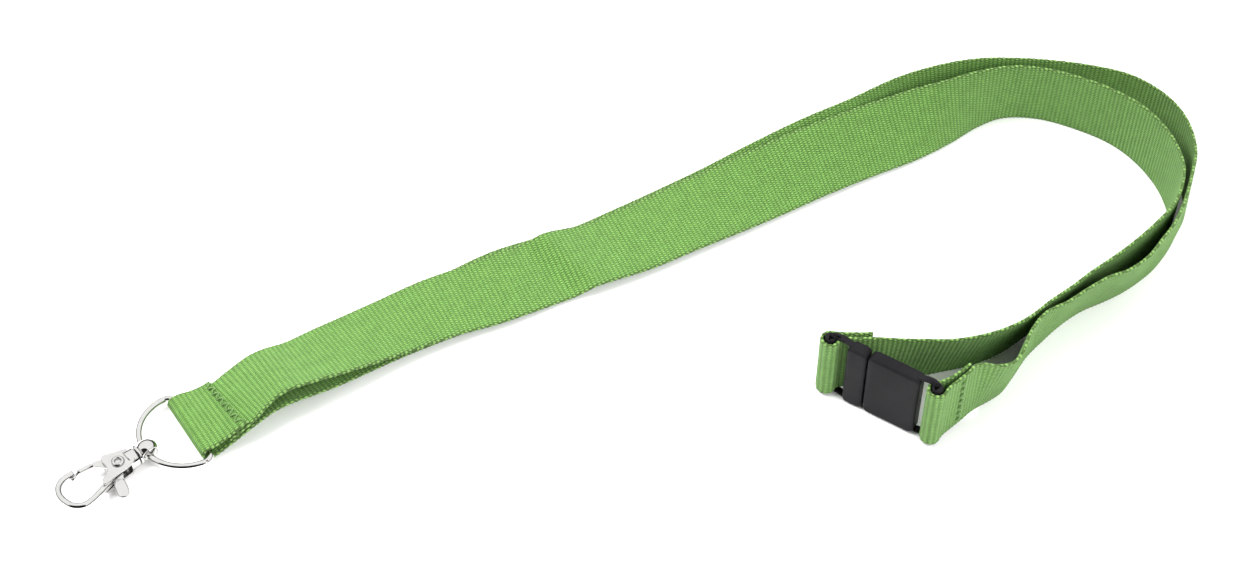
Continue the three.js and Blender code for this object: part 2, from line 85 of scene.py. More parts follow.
def placeCamera():
    e, r = math.radians(view["elevation"]), math.radians(view["roll"])
    ahead = Vector((0, math.cos(e), -math.sin(e)))
    upward, right = Vector((0, math.sin(e), math.cos(e))), Vector((1, 0, 0))
    camX = right * math.cos(r) + upward * math.sin(r)
    camY = upward * math.cos(r) - right * math.sin(r)
    spot = (Vector(view["aim"]) - ahead * view["distance"] + Vector(layShift)) * mm
    data = bpy.data.cameras.new("camera")
    data.lens, data.sensor_width = view["lens"], 36
    data.clip_start, data.clip_end = 0.02, 20
    camera = bpy.data.objects.new("camera", data)
    camera.matrix_world = Matrix.Translation(spot) @ Matrix((camX, camY, -ahead)).transposed().to_4x4()
    bpy.context.collection.objects.link(camera)
    bpy.context.scene.camera = camera


def areaLight(name, spot, aim, size, power):
    data = bpy.data.lights.new(name, "AREA")
    data.shape, data.size, data.size_y = "RECTANGLE", size[0], size[1]
    data.energy = power
    lamp = bpy.data.objects.new(name, data)
    lamp.visible_glossy = False
    turn = (Vector(aim) - Vector(spot)).to_track_quat("-Z", "Y")
    lamp.matrix_world = Matrix.Translation(spot) @ turn.to_matrix().to_4x4()
    bpy.context.collection.objects.link(lamp)


placeCamera()
areaLight("keyLight", (-0.6, 0.1, 0.8), (0, 0, 0), (0.7, 0.55), 15)
areaLight("fillLight", (0.6, -0.6, 0.6), (0, 0, 0), (0.8, 0.8), 12)
areaLight("backLight", (0.1, 0.8, 0.5), (0, 0, 0), (1.2, 0.4), 4)
tent = dict(strength=1.25,
            height=((0.0, 0.85), (0.015, 0.015), (0.33, 0.015), (0.4, 0.95), (1.0, 1.0)),
            front=((0.0, 1.0), (0.74, 1.0), (0.77, 0.02), (1.0, 0.02)),
            opening=(-0.1, -0.87, 0.48))


def studioWorld():  # a white tent, dark low down and at the front, for the plating to mirror
    world = bpy.data.worlds.new("studio")
    bpy.context.scene.world = world
    world.use_nodes = True
    tree = world.node_tree
    background = tree.nodes["Background"]
    coord = tree.nodes.new("ShaderNodeTexCoord")
    split = tree.nodes.new("ShaderNodeSeparateXYZ")
    tree.links.new(coord.outputs["Generated"], split.inputs[0])
    facing = tree.nodes.new("ShaderNodeVectorMath")
    facing.operation = "DOT_PRODUCT"
    facing.inputs[1].default_value = tent["opening"]
    tree.links.new(coord.outputs["Generated"], facing.inputs[0])
    colors = []
    for socket, marks in ((split.outputs["Z"], tent["height"]), (facing.outputs["Value"], tent["front"])):
        ramp = tree.nodes.new("ShaderNodeValToRGB")
        tree.links.new(socket, ramp.inputs[0])
        elements = ramp.color_ramp.elements
        elements[0].position, elements[0].color = marks[0][0], (*[marks[0][1]] * 3, 1)
        elements[1].position, elements[1].color = marks[-1][0], (*[marks[-1][1]] * 3, 1)
        for position, grey in marks[1:-1]:
            elements.new(position).color = (grey, grey, grey, 1)
        colors.append(ramp.outputs[0])
    product = tree.nodes.new("ShaderNodeMix")
    product.data_type, product.blend_type = "RGBA", "MULTIPLY"
    product.inputs[0].default_value = 1.0
    tree.links.new(colors[0], product.inputs[6])
    tree.links.new(colors[1], product.inputs[7])
    tree.links.new(product.outputs[2], background.inputs["Color"])
    background.inputs["Strength"].default_value = tent["strength"]


studioWorld()
bpy.context.scene.view_settings.view_transform = "Standard"
print("camera and lights placed")


# ---------------------------------------------------------------- materials
class Nodes:  # short hand for one material's node tree
    def __init__(self, name):
        self.material = bpy.data.materials.new(name)
        self.material.use_nodes = True
        self.tree = self.material.node_tree
        self.shader = self.tree.nodes["Principled BSDF"]

    def link(self, value, socket):
        if isinstance(value, (int, float, tuple)):
            socket.default_value = value
        else:
            self.tree.links.new(value, socket)

    def math(self, operation, *values):
        node = self.tree.nodes.new("ShaderNodeMath")
        node.operation = operation
        for value, socket in zip(values, node.inputs):
            self.link(value, socket)
        return node.outputs[0]

    def uv(self):
        node = self.tree.nodes.new("ShaderNodeUVMap")
        node.uv_map = "weave"
        split = self.tree.nodes.new("ShaderNodeSeparateXYZ")
        self.link(node.outputs[0], split.inputs[0])
        return node.outputs[0], split.outputs["X"], split.outputs["Y"]

    def place(self):
        return self.tree.nodes.new("ShaderNodeTexCoord").outputs["Object"]

    def noise(self, vector, scale, detail=3, roughness=0.5):
        node = self.tree.nodes.new("ShaderNodeTexNoise")
        self.link(vector, node.inputs["Vector"])
        node.inputs["Scale"].default_value = scale
        node.inputs["Detail"].default_value = detail
        node.inputs["Roughness"].default_value = roughness
        return node.outputs[0]

    def ramp(self, value, *marks):
        node = self.tree.nodes.new("ShaderNodeValToRGB")
        self.link(value, node.inputs[0])
        elements = node.color_ramp.elements
        elements[0].position, elements[0].color = marks[0][0], (*marks[0][1], 1)
        elements[1].position, elements[1].color = marks[-1][0], (*marks[-1][1], 1)
        for position, color in marks[1:-1]:
            elements.new(position).color = (*color, 1)
        return node.outputs[0]

    def mix(self, share, a, b, blend="MIX"):
        node = self.tree.nodes.new("ShaderNodeMix")
        node.data_type, node.blend_type = "RGBA", blend
        self.link(share, node.inputs[0])
        self.link(a, node.inputs[6])
        self.link(b, node.inputs[7])
        return node.outputs[2]

    def wave(self, value):  # a cosine of whole turns, from 0 to 1
        turns = self.math("MULTIPLY", value, 2 * math.pi)
        return self.math("ADD", self.math("MULTIPLY", self.math("COSINE", turns), 0.5), 0.5)

    def bump(self, height, distance, strength=1.0, under=None):
        node = self.tree.nodes.new("ShaderNodeBump")
        self.link(height, node.inputs["Height"])
        node.inputs["Distance"].default_value = distance
        node.inputs["Strength"].default_value = strength
        if under:
            self.link(under, node.inputs["Normal"])
        return node.outputs[0]

    def finish(self, color, roughness, normal=None, **fixed):
        self.link(color, self.shader.inputs["Base Color"])
        self.link(roughness, self.shader.inputs["Roughness"])
        if normal:
            self.link(normal, self.shader.inputs["Normal"])
        for name, value in fixed.items():
            self.shader.inputs[name.replace("_", " ")].default_value = value
        return self.material


# painted shade: the valley colour is a near-black green painted into the hollows between the yarns; the crest
# colour is the yarn's own green
weave = dict(warpPitch=0.64, wander=0.35, stagger=0.22, fuzz=0.6, bump=0.00025, border=0.9,
             crest=(0.2, 0.405, 0.095), valleyShade=(0.003, 0.022, 0.001), edge=(0.2, 0.35, 0.1))


def webbingMaterial():
    n = Nodes("greenWebbing")
    uv, along, across = n.uv()
    rib = n.math("DIVIDE", along, web["ribPitch"])
    stray = n.math("MULTIPLY", n.math("SUBTRACT", n.noise(uv, 0.9, 2), 0.5), weave["wander"])
    across = n.math("ADD", across, stray)  # the yarns wander a little
    index = n.math("FLOOR", n.math("ADD", rib, 0.5))
    swing = n.math("ADD", n.math("MULTIPLY", n.math("MODULO", index, 2.0), 0.5),
                   n.math("MULTIPLY", rib, weave["stagger"]))
    crest = n.wave(rib)
    warp = n.math("ADD", n.math("DIVIDE", across, weave["warpPitch"]), swing)
    raised = n.wave(warp)
    yarn = n.math("MULTIPLY", n.math("ADD", n.math("MULTIPLY", crest, 0.5), 0.5),
                  n.math("ADD", n.math("MULTIPLY", raised, 0.75), 0.25))
    fibre = n.noise(uv, 3.2, 4, 0.75)
    cloud = n.noise(uv, 0.35, 2)
    height = n.math("ADD", yarn, n.math("MULTIPLY", fibre, weave["fuzz"]))
    # painted shade: where the yarns sink, the colour falls from the crest green to the dark valley colour;
    # the fibre noise adds the yarn's own uneven tone
    toneAndValleyShade = n.math("ADD", n.math("MULTIPLY", yarn, 0.85),
                  n.math("MULTIPLY", n.math("SUBTRACT", fibre, 0.4), 1.6))
    between = tuple(0.5 * (a + b) for a, b in zip(weave["valleyShade"], weave["crest"]))
    color = n.ramp(toneAndValleyShade, (0.05, weave["valleyShade"]), (0.5, between), (0.95, weave["crest"]))
    margin = n.math("ABSOLUTE", n.math("SUBTRACT", across, web["width"] / 2))
    border = n.math("MULTIPLY", n.math("SUBTRACT", margin, web["width"] / 2 - weave["border"]), 1.6)
    # painted shade: along the selvedge the colour drops to a quarter of the edge green in the gaps between
    # the yarn loops
    edgeGapShade = tuple(0.25 * c for c in weave["edge"])
    dots = n.ramp(n.math("MULTIPLY", crest, raised), (0.15, edgeGapShade), (0.5, weave["edge"]))
    share = n.math("MINIMUM", n.math("MAXIMUM", border, 0.0), 1.0)
    color = n.mix(n.math("MULTIPLY", share, 0.7), color, dots)
    shade = n.ramp(cloud, (0.3, (0.9, 0.9, 0.9)), (0.7, (1.06, 1.06, 1.06)))
    color = n.mix(1.0, color, shade, "MULTIPLY")
    normal = n.bump(height, weave["bump"])
    return n.finish(color, 0.78, normal, Sheen_Weight=0.1, Sheen_Roughness=0.4, Specular_IOR_Level=0.3)


def threadMaterial():
    n = Nodes("greenThread")
    place = n.place()
    wave = n.tree.nodes.new("ShaderNodeTexWave")
    n.link(place, wave.inputs["Vector"])
    wave.inputs["Scale"].default_value = 900
    wave.inputs["Distortion"].default_value = 1.5
    # painted shade: the thread darkens in the grooves of its twist, following the same wave as its bump
    color = n.ramp(wave.outputs[1], (0.0, (0.05, 0.13, 0.025)), (1.0, (0.18, 0.34, 0.09)))
    return n.finish(color, 0.6, n.bump(wave.outputs[1], 0.00008), Sheen_Weight=0.2)


def platedMaterial(name, tint, polish):
    n = Nodes(name)
    place = n.place()
    haze = n.noise(place, 260, 4, 0.6)
    scuff = n.noise(place, 1800, 2)
    rough = n.math("ADD", n.math("MULTIPLY", haze, 0.1), polish)
    normal = n.bump(n.math("ADD", haze, n.math("MULTIPLY", scuff, 0.2)), 0.00004, 0.35)
    color = n.ramp(haze, (0.3, tuple(0.93 * c for c in tint)), (0.7, tint))
    return n.finish(color, rough, normal, Metallic=1.0)


def acetalMaterial():
    n = Nodes("satinAcetal")
    place = n.place()
    grain = n.noise(place, 5200, 3, 0.6)
    flow = n.noise(place, 120, 3)
    color = n.ramp(flow, (0.3, (0.009, 0.0085, 0.01)), (0.7, (0.013, 0.0125, 0.014)))
    rough = n.math("ADD", n.math("MULTIPLY", grain, 0.2), 0.3)
    return n.finish(color, rough, n.bump(grain, 0.00005, 0.4), Specular_IOR_Level=0.06)


webbing, thread = webbingMaterial(), threadMaterial()
plated = platedMaterial("nickelPlate", (0.69, 0.685, 0.67), 0.04)
springWire = platedMaterial("springWire", (0.6, 0.61, 0.63), 0.2)
acetal = acetalMaterial()
print("materials made")


# ---------------------------------------------------------------- webbing
def splineAt(points, u):  # centripetal spline through the points, even in u from one point to the next
    points = np.asarray(points, float)
    full = np.vstack([2 * points[0] - points[1], points, 2 * points[-1] - points[-2]])
    spans = len(points) - 1
    at = np.clip(np.asarray(u, float) * spans, 0, spans)
    k = np.minimum(at.astype(int), spans - 1)
    t = (at - k)[:, None]
    p = [full[k + i] for i in range(4)]
    d = [np.sqrt(np.linalg.norm(p[i + 1] - p[i], axis=1))[:, None] for i in range(3)]
    a = ((p[1] - p[0]) / d[0] - (p[2] - p[0]) / (d[0] + d[1]) + (p[2] - p[1]) / d[1]) * d[1]
    b = ((p[2] - p[1]) / d[1] - (p[3] - p[1]) / (d[1] + d[2]) + (p[3] - p[2]) / d[2]) * d[1]
    return p[1] + a * t + (-3 * p[1] + 3 * p[2] - 2 * a - b) * t ** 2 + (2 * p[1] - 2 * p[2] + a + b) * t ** 3


def unit(v):
    return v / np.linalg.norm(v, axis=-1, keepdims=True)


def stationsOf(rows):  # x, y and lift of the lower selvedge, and the lean outward from upright
    rows = np.array(rows, float)
    plan = np.column_stack([rows[:, :2], np.zeros(len(rows))])
    u = np.linspace(0, 1, len(rows))
    along = unit(splineAt(plan, np.minimum(u + 1e-4, 1)) - splineAt(plan, np.maximum(u - 1e-4, 0)))
    lean = np.radians(rows[:, 3])[:, None]
    outward = np.column_stack([-along[:, 1], along[:, 0], np.zeros(len(rows))])
    across = outward * np.sin(lean) + np.array([0, 0, 1.0]) * np.cos(lean)
    edge = np.column_stack([rows[:, :2], rows[:, 2] + web["thick"] / 2 * np.abs(np.sin(lean[:, 0]))])
    return [(e, a) for e, a in zip(edge, across)]


def layered(stations, layers):
    edges = [e for e, _ in stations]
    out = []
    for i, (edge, across) in enumerate(stations):
        along = edges[min(i + 1, len(edges) - 1)] - edges[max(i - 1, 0)]
        normal = unit(np.cross(along, across))
        out.append((edge + normal * layers * (web["thick"] + web["gap"]), across))
    return out


stackedRows = [[*(np.array(fold["corner"]) + along * heading(fold["heading"])[:2]), lift, lean]
               for along, lift, lean in ((8.5, 1.8, 95), (11.5, 3, 98), (14.5, 4.3, 100))]

frontRoute = [
    [-97.5, -50, 8.2, 103], [-93.4, -47.4, 9.2, 104],
    [-88.6, -44.4, 8.6, 103], [-84, -41.3, 7.2, 100], [-77, -36.3, 5.3, 96],
    [-69.5, -30.8, 3.6, 92], [-61.5, -25.5, 2.4, 88], [-52, -20, 1.6, 82],
    [-44, -16, 1.4, 77], [-36, -11.5, 1.4, 72], [-26, -5.5, 1.4, 77],
    [-15, 0.3, 1.4, 81], [-4, 6.5, 1.4, 76], [8, 14.3, 1.4, 72],
    [20, 22, 1.2, 65], [32, 30, 1, 57], [45, 39, 0.8, 49],
    [58, 47.3, 0.6, 42], [70.5, 55, 0.4, 35], [80, 62.5, 0.2, 20],
    [88.5, 70.3, 0, 7], [96.5, 74.8, 0, 0], [107, 75, 0, -3],
    [118, 71, 0, -3], [126, 66.3, 0, -3], [132, 60, 0, -1],
    [136.5, 52, 0, 0], [139, 44, 0, 0], [139.6, 36, 0, 0],
    [137.4, 28, 0, 1], [133.3, 21, 0, 3], [128.5, 15.5, 0, 4],
    [124.3, 11.7, 0, 6], [119, 7.7, 0, 9], [113, 4, 0, 13],
    [106.6, -0.1, 0, 16], [100.6, -5.4, 0, 17], [94.4, -10.9, 0, 17],
    [87.6, -17, 0, 18], [80, -21.6, 0, 18], [70, -25, 0, 17],
    [63.5, -27, 0, 13], [58, -29.3, 0.2, 8],
]

rearRoute = [
    [-98, -52, 5, 100], [-94.1, -49.3, 5.2, 100],
    [-89.2, -45.6, 4.2, 97], [-84.2, -41.4, 2.8, 94], [-76.8, -35, 1.4, 91],
    [-69, -28.8, 0.6, 89], [-60, -22.8, 0.2, 87], [-50, -16.8, 0, 84],
    [-38.5, -9.5, 0, 80], [-28, -3.3, 0, 83], [-16.5, 2.6, 0, 84],
    [-5.5, 9, 0, 80], [6.5, 16.6, 0, 76], [18.5, 24.2, 0, 69],
    [30.5, 32.8, 0, 60], [43.5, 42.6, 0, 47], [54.5, 51.4, 0, 33],
    [68.5, 63.3, 0, 24], [78.5, 69.8, 0, 17], [88, 75, 0, 8],
    [98.5, 77.6, 0, 2], [107.5, 78, 0, 0], [118.5, 76.6, 0, 0],
    [129.6, 73.3, 0, 0], [137.3, 67, 0, 0], [142, 59.3, 0, 0],
    [144.3, 50.5, 0, -1], [144.8, 42, 0, -3], [143, 35, 0, -3],
    [140.2, 29.3, 0, 0], [136.7, 22.5, 0, 3], [132, 15.6, 0, 7],
    [128, 11.3, 0, 10], [122.2, 6.3, 0, 16], [116.3, 2.4, 0, 19],
    [110.6, -1, 0, 18], [104.7, -6, 0, 17], [98.7, -12.6, 0, 14],
    [93.8, -18.7, 0, 8], [89.3, -26.3, 0, 7], [86.1, -31.2, 0, 11],
    [83, -34, 0.2, 14], [80.1, -36.4, 0.6, 11],
]

buckleX = -Vector(joints["plug_slide"]["axis"])
buckleFrame = frameOf((0, 0, 0), buckleX, -Vector(mounts["socket_front"]["axis"]))
buckleSeat = (Vector(mounts["socket_front"]["pos_m"]) / mm
              - buckleFrame.to_3x3() @ Vector((buckle["socket"] / 2, -buckle["thick"] / 2,
                                               buckle["width"] / 2)))
buckleFrame.translation = buckleSeat
loopFoot = (buckle["width"] - web["width"]) / 2
plugBar = -buckle["plug"] - buckle["plugReach"]
socketBar = buckle["socket"] + buckle["socketReach"]


def arc(x, y, radius, angles):
    return [(x + radius * math.cos(math.radians(a)), y + radius * math.sin(math.radians(a))) for a in angles]


def loopStations(barX, inward, tail):
    reach = buckle["barRadius"] + web["gap"] + web["thick"] / 2
    turn = arc(barX, -buckle["barForward"], reach, (15, -15, -45, -80, -115, -150, -180, -210, -240))
    across = np.array(buckleFrame.to_3x3() @ Vector((0, 0, 1)))
    return [(np.array(buckleFrame @ Vector((x, y, loopFoot))) - layShift, across)
            for x, y in (*inward, *turn, *tail)]


def foldStations():
    r = fold["radius"]
    turn = arc(0, 0, r, range(90, -91, -30))
    return [(foldAxis + foldAway * out + np.array([0, 0, rise]), foldAcross)
            for out, rise in ((-fold["run"], r), *turn, (-fold["run"], -r))]


stack = stationsOf(stackedRows + rearRoute[:1])[:3]
tailStations = layered(stack, 2)[::-1]
frontStations = (layered(stack, 1) + stationsOf(frontRoute)
                 + loopStations(plugBar, [(-0.9, 5.9), (-4.6, 3.5), (-6.9, 2.2), (-8.4, 1)],
                                [(-10.6, 1.9), (-8.2, 3.2), (-5.1, 5.1), (-2.8, 6.7)]))
rearStations = (tailStations + foldStations() + stack + stationsOf(rearRoute)
                + loopStations(socketBar, [(24.1, 11.9), (23, 7.6), (21.9, 3.8), (21.3, 1.4)],
                               [(18.9, 2.4), (20.2, 4.6), (21.4, 7.8), (22.4, 11)]))


def courseOf(stations):  # even steps along the webbing: edge, across, normal and run, in mm
    low = np.array([e for e, _ in stations])
    high = low + np.array([a for _, a in stations]) * web["width"]
    u = np.linspace(0, 1, 60 * len(stations))
    middle = (splineAt(low, u) + splineAt(high, u)) / 2
    run = np.concatenate([[0], np.cumsum(np.linalg.norm(np.diff(middle, axis=0), axis=1))])
    steps = int(round(run[-1] / web["ribPitch"] * web["stepsPerRib"]))
    s = np.linspace(0, run[-1], steps + 1)
    u = np.interp(s, run, u)
    edge = splineAt(low, u)
    across = unit(splineAt(high, u) - edge)
    along = unit(splineAt(low, np.minimum(u + 1e-5, 1)) - splineAt(low, np.maximum(u - 1e-5, 0)))
    return edge + layShift, across, unit(np.cross(along, across)), s


# distance in from the selvedge and share of thickness; the selvedge on the table moves less in a dent
selvedge = dict(rim=((0.0, 0.35), (0.1, 0.7), (0.35, 0.98), (0.75, 1.0)), inset=1.3, columns=11,
                loops=0.16, loopsReach=0.6, held=0.65, freed=0.35, heldTo=6)


def webbingPiece(name, stations, dents=()):  # a dent: x on the table, slant, run before and after, depth
    edge, across, normal, s = courseOf(stations)
    half, width = web["thick"] / 2, web["width"]
    inner = np.linspace(selvedge["inset"], width - selvedge["inset"], selvedge["columns"])
    rim = list(selvedge["rim"])
    face = rim + [(w, 1.0) for w in inner] + [(width - w, t) for w, t in rim[::-1]]
    section = np.array(face + [(w, -t) for w, t in face[::-1]])
    bm = bmesh.new()
    layer = bm.loops.layers.uv.new("weave")
    rings = []
    dents = [(s[np.argmin(np.abs(edge[: len(s) // 2, 0] - x))], *rest) for x, *rest in dents]
    for i, run in enumerate(s):
        wave = math.cos(2 * math.pi * run / web["ribPitch"])
        ring = []
        for w, t in section:
            nearEdge = min(w, width - w)
            lift = t * (half + (web["ribLift"] * wave - web["ribLift"]) * (1 if nearEdge > 0.3 else 0.5))
            out = np.sign(w - width / 2) * selvedge["loops"] * (0.5 + 0.5 * wave)
            out *= max(0, 1 - nearEdge / selvedge["loopsReach"])
            held = selvedge["held"] + selvedge["freed"] * min(1, w / selvedge["heldTo"])
            for middle, slant, before, after, depth in dents:
                beyond = run - middle - slant * (w - width / 2)
                lift -= held * depth * math.exp(-((beyond / (before if beyond < 0 else after)) ** 2))
            p = edge[i] + across[i] * (w + out) + normal[i] * lift
            ring.append(bm.verts.new(p * mm))
        rings.append(ring)
    count = len(section)
    for i in range(len(s) - 1):
        for j in range(count):
            k = (j + 1) % count
            f = bm.faces.new((rings[i][j], rings[i][k], rings[i + 1][k], rings[i + 1][j]))
            f.smooth = True
            for loop, (r, c) in zip(f.loops, ((i, j), (i, k), (i + 1, k), (i + 1, j))):
                loop[layer].uv = (s[r], section[c][0])
    for ring, i in ((rings[0][::-1], 0), (rings[-1], len(s) - 1)):
        f = bm.faces.new(ring)
        for loop in f.loops:
            loop[layer].uv = (s[i], 10)
    bmesh.ops.recalc_face_normals(bm, faces=bm.faces)
    mesh = bpy.data.meshes.new(name)
    bm.to_mesh(mesh)
    bm.free()
    mesh.materials.append(webbing)
    piece = bpy.data.objects.new(name, mesh)
    bpy.context.collection.objects.link(piece)
    print(name, "length", round(s[-1], 1), "mm,", len(mesh.polygons), "faces")
    return piece, s[-1]


creases = [(-27, -0.35, 14, 3.2, 1.5), (-20, -0.35, 3.2, 11, -1.6), (-55, -0.1, 9, 7, -0.7),
           (-88, 0.1, 5, 7, 0.6), (33, -0.1, 16, 9, 0.6)]
frontStrap, frontLength = webbingPiece("frontStrap", frontStations, creases)
rearStrap, rearLength = webbingPiece("rearStrap", rearStations)


# ---------------------------------------------------------------- solid pieces
def pieceOf(name, bm, material, place=None, smooth=True):
    if place is not None:
        bm.transform(place)
    bmesh.ops.scale(bm, vec=(mm, mm, mm), verts=bm.verts)
    for f in bm.faces:
        f.smooth = smooth
    mesh = bpy.data.meshes.new(name)
    bm.to_mesh(mesh)
    bm.free()
    mesh.materials.append(material)
    piece = bpy.data.objects.new(name, mesh)
    bpy.context.collection.objects.link(piece)
    return piece


def join(bm, other):
    mesh = bpy.data.meshes.new("part")
    other.to_mesh(mesh)
    other.free()
    bm.from_mesh(mesh)
    bpy.data.meshes.remove(mesh)


def plate(outline, z0, z1, edge=0.0, segments=4):  # a flat shape with a rounded rim
    bm = bmesh.new()
    bottom = bm.faces.new([bm.verts.new((x, y, z0)) for x, y in outline])
    grown = bmesh.ops.extrude_face_region(bm, geom=[bottom])
    top = [v for v in grown["geom"] if isinstance(v, bmesh.types.BMVert)]
    bmesh.ops.translate(bm, verts=top, vec=(0, 0, z1 - z0))
    bmesh.ops.recalc_face_normals(bm, faces=bm.faces)
    if edge:
        rims = [e for e in bm.edges if abs(e.verts[0].co.z - e.verts[1].co.z) < 1e-6]
        bmesh.ops.bevel(bm, geom=rims, offset=edge, segments=segments, profile=0.5,
                        affect="EDGES", material=-1, clamp_overlap=False)
    return bm


def turned(profile, axis="X", steps=48):  # a profile of (radius, place along the axis) spun all the way round
    bm = bmesh.new()
    points = {"X": lambda r, a: (a, r, 0), "Y": lambda r, a: (r, a, 0), "Z": lambda r, a: (r, 0, a)}[axis]
    verts = [bm.verts.new(points(r, a)) for r, a in profile]
    edges = [bm.edges.new((a, b)) for a, b in zip(verts, verts[1:])]
    if profile[0][0] > 1e-6 and profile[-1][0] > 1e-6:
        edges.append(bm.edges.new((verts[-1], verts[0])))
    direction = {"X": (1, 0, 0), "Y": (0, 1, 0), "Z": (0, 0, 1)}[axis]
    bmesh.ops.spin(bm, geom=verts + edges, cent=(0, 0, 0), axis=direction, angle=2 * math.pi,
                   steps=steps, use_merge=True)
    bmesh.ops.remove_doubles(bm, verts=bm.verts, dist=1e-5)
    bmesh.ops.recalc_face_normals(bm, faces=bm.faces)
    return bm


def disc(radius, a0, a1, edge=0.15, bore=0.0):  # profile of a turned disc with rounded rims
    corner = [(radius - edge + edge * math.sin(t), edge - edge * math.cos(t))
              for t in np.linspace(0, math.pi / 2, 4)]
    side = [(r, a0 + a) for r, a in corner] + [(r, a1 - a) for r, a in corner[::-1]]
    return [(bore, a0)] + side + [(bore, a1)]


def softened(points, rounds=2):  # cut the corners of a closed outline
    points = [Vector(p) for p in points]
    for _ in range(rounds):
        points = [q for a, b in zip(points, points[1:] + points[:1])
                  for q in (a.lerp(b, 0.25), a.lerp(b, 0.75))]
    return points


def strip(points, halfWidth, steps):
    u = np.linspace(0, 1, steps + 1)
    flat = [(x, y, 0) for x, y in points]
    middle = splineAt(flat, u)
    along = unit(splineAt(flat, np.minimum(u + 1e-4, 1)) - splineAt(flat, np.maximum(u - 1e-4, 0)))
    side = np.column_stack([-along[:, 1], along[:, 0]]) * halfWidth
    return [tuple(p) for p in middle[:, :2] + side] + [tuple(p) for p in (middle[:, :2] - side)[::-1]]


def bar(points, radius, closed=False, sides=6, flatten=1.0):  # a round bar along the points, with flat ends
    curve = bpy.data.curves.new("bar", "CURVE")
    curve.dimensions = "3D"
    curve.bevel_depth, curve.bevel_resolution, curve.use_fill_caps = radius, sides, True
    spline = curve.splines.new("POLY")
    spline.points.add(len(points) - 1)
    for dot, p in zip(spline.points, points):
        dot.co = (*p, 1)
    spline.use_cyclic_u = closed
    source = bpy.data.objects.new("bar", curve)
    bpy.context.collection.objects.link(source)
    bpy.context.view_layer.update()
    mesh = bpy.data.meshes.new_from_object(source.evaluated_get(bpy.context.evaluated_depsgraph_get()))
    bpy.data.objects.remove(source)
    bpy.data.curves.remove(curve)
    bm = bmesh.new()
    bm.from_mesh(mesh)
    bpy.data.meshes.remove(mesh)
    bmesh.ops.remove_doubles(bm, verts=bm.verts, dist=1e-4)
    bmesh.ops.recalc_face_normals(bm, faces=bm.faces)
    bmesh.ops.scale(bm, vec=(1, 1, flatten), verts=bm.verts)
    return bm


def curveThrough(points, steps):
    return [tuple(p) for p in splineAt([(x, y, 0) for x, y in points], np.linspace(0, 1, steps))]


# D-ring
ring = dict(wire=0.9, play=1.0, corner=2.2, depth=13.3)
ringOrigin = Vector(joints["ring_swing"]["pos_m"]) / mm
ringY = -Vector(joints["ring_swing"]["axis"])
eyeSpot = Vector(joints["eye_swing"]["pos_m"]) / mm
ringX = (eyeSpot - ringOrigin) - ringY * (eyeSpot - ringOrigin).dot(ringY)
ringFrame = frameOf(ringOrigin, ringX, ringY)
ringHalf = web["width"] / 2 + ring["play"] + ring["wire"]
ringStraight = ring["depth"] - ringHalf


def ringPath():
    c = ring["corner"]
    path = [(0, y) for y in np.linspace(-ringHalf + c, ringHalf - c, 12)]
    path += arc(c, ringHalf - c, c, np.linspace(180, 90, 12))[1:]
    path += arc(ringStraight, 0, ringHalf, np.linspace(90, -90, 72))
    path += arc(c, c - ringHalf, c, np.linspace(-90, -180, 12))[:-1]
    kept = [path[0]]
    for p in path[1:]:
        if math.dist(p, kept[-1]) > 0.08:
            kept.append(p)
    return [ringFrame @ Vector((x, y, 0)) for x, y in kept]


dRing = pieceOf("dRing", bar(ringPath(), ring["wire"], closed=True, sides=8), plated)

# Swivel eye, hook, gate, rivet and spring, in the hook's own frame
hook = dict(dome=3.0, across=2.7, bore=2.1, collar=2.7, collarThick=0.7, post=0.8, neck=2.6, neckLength=1.2,
            postHeadThick=0.8, bowWire=0.85, bowSide=4.5, bowReach=15.8,
            cheek=0.6, slot=2.8, gatePlate=0.9, gateThick=1.1, rivetOut=4.7)
hookFrame = frameOf(Vector(joints["hook_turn"]["pos_m"]) / mm, joints["hook_turn"]["axis"],
                    Vector(joints["gate_open"]["axis"]).cross(Vector(joints["hook_turn"]["axis"])) * -1)
collarFrom = hook["dome"] - 0.7
neckFrom = collarFrom + hook["collarThick"] + web["gap"]
headFrom = neckFrom + hook["neckLength"] + web["gap"]
headTo = headFrom + hook["postHeadThick"]
rivetX = neckFrom + hook["rivetOut"]
cheekHalf = hook["slot"] / 2 + hook["cheek"]
bowEnd = rivetX + hook["bowReach"]
tipX, tipSide = bowEnd - 6.1, hook["bowSide"] + 1


def swivelEye():
    reach = hook["dome"]
    squeeze = hook["across"] / hook["dome"]
    limit = math.acos(hook["bore"] / reach)
    zone = [(reach * math.cos(t), squeeze * reach * math.sin(t)) for t in np.linspace(-limit, limit, 18)]
    bm = turned(zone, "Y", 64)
    bmesh.ops.scale(bm, vec=(1, 1, squeeze), verts=bm.verts)
    join(bm, turned(disc(hook["collar"], collarFrom, collarFrom + hook["collarThick"], 0.2), steps=64))
    postFrom = hook["bore"] + 0.1
    join(bm, turned([(0, postFrom), (hook["post"], postFrom), (hook["post"], headTo), (0, headTo)]))
    return pieceOf("swivelEye", bm, plated, hookFrame)


